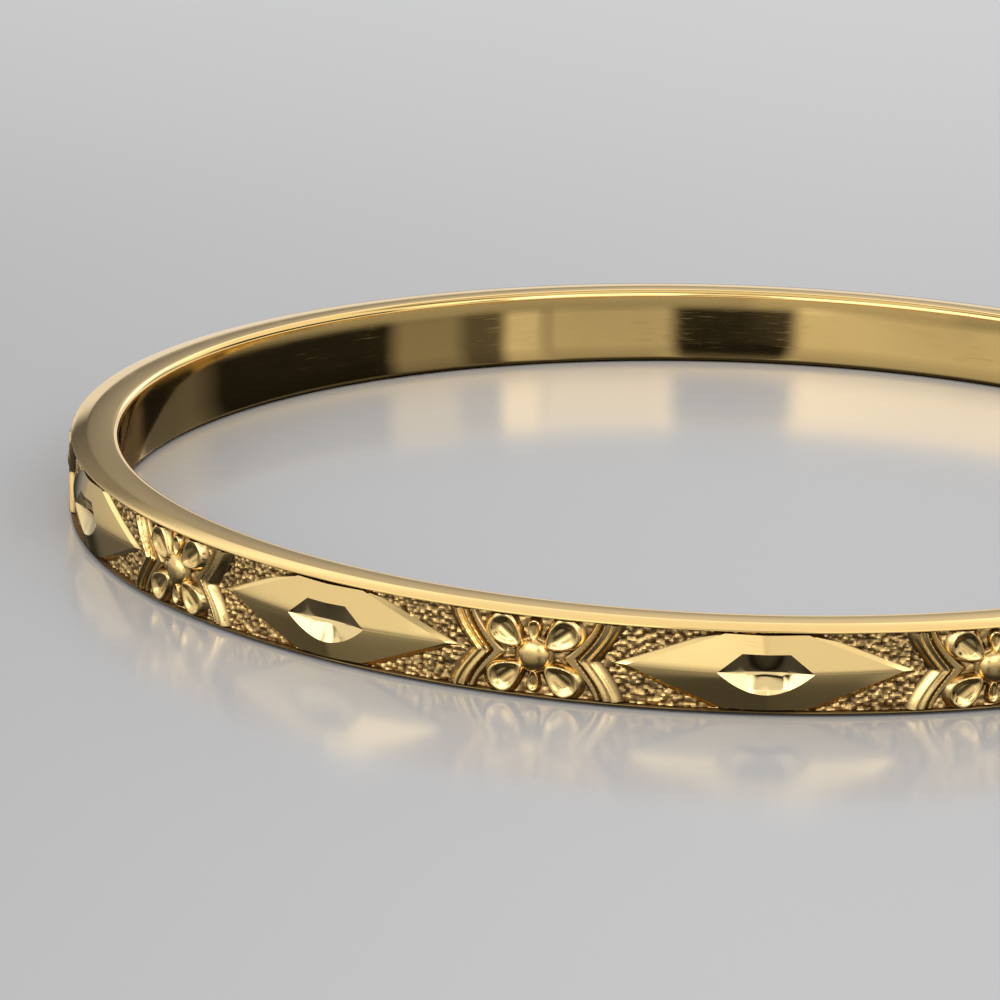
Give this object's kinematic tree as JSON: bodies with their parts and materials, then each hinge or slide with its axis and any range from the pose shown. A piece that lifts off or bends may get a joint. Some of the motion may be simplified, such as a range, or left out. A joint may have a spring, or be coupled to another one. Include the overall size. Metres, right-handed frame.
{
  "type": "bangle bracelet",
  "caption": "Closed round bangle with flat polished rims and a raised face pattern of bright-cut lozenges and beaded flowers between chevrons on a stippled ground.",
  "frame": {"origin": "centre of the ring, in the plane that the lower rim rests on", "axes": "+Z along the ring's axis, from the lower rim to the upper rim; -Y points out through the middle of lozenge_01, and +X through the middle of flower_03"},
  "size_m": [0.0652, 0.065, 0.004],
  "materials": {
    "polished_gold": "mirror polished, gold plated",
    "stippled_gold": "matt punched ground, gold plated",
    "bright_cut_gold": "bright cut facets, gold plated",
    "chased_gold": "chased and tumbled, gold plated"
  },
  "bodies": {
    "root": {"inner_channel": "polished_gold", "face_strip": "stippled_gold", "lozenge_01": "bright_cut_gold", "flower_01": "chased_gold", "flower_bead_01": "bright_cut_gold", "chevron_left_01": "chased_gold", "chevron_right_01": "chased_gold", "lozenge_02": "bright_cut_gold", "flower_02": "chased_gold", "flower_bead_02": "bright_cut_gold", "chevron_left_02": "chased_gold", "chevron_right_02": "chased_gold", "lozenge_03": "bright_cut_gold", "flower_03": "chased_gold", "flower_bead_03": "bright_cut_gold", "chevron_left_03": "chased_gold", "chevron_right_03": "chased_gold", "lozenge_04": "bright_cut_gold", "flower_04": "chased_gold", "flower_bead_04": "bright_cut_gold", "chevron_left_04": "chased_gold", "chevron_right_04": "chased_gold", "lozenge_05": "bright_cut_gold", "flower_05": "chased_gold", "flower_bead_05": "bright_cut_gold", "chevron_left_05": "chased_gold", "chevron_right_05": "chased_gold", "lozenge_06": "bright_cut_gold", "flower_06": "chased_gold", "flower_bead_06": "bright_cut_gold", "chevron_left_06": "chased_gold", "chevron_right_06": "chased_gold", "lozenge_07": "bright_cut_gold", "flower_07": "chased_gold", "flower_bead_07": "bright_cut_gold", "chevron_left_07": "chased_gold", "chevron_right_07": "chased_gold", "lozenge_08": "bright_cut_gold", "flower_08": "chased_gold", "flower_bead_08": "bright_cut_gold", "chevron_left_08": "chased_gold", "chevron_right_08": "chased_gold", "lozenge_09": "bright_cut_gold", "flower_09": "chased_gold", "flower_bead_09": "bright_cut_gold", "chevron_left_09": "chased_gold", "chevron_right_09": "chased_gold", "lozenge_10": "bright_cut_gold", "flower_10": "chased_gold", "flower_bead_10": "bright_cut_gold", "chevron_left_10": "chased_gold", "chevron_right_10": "chased_gold"}
  },
  "joints": []
}
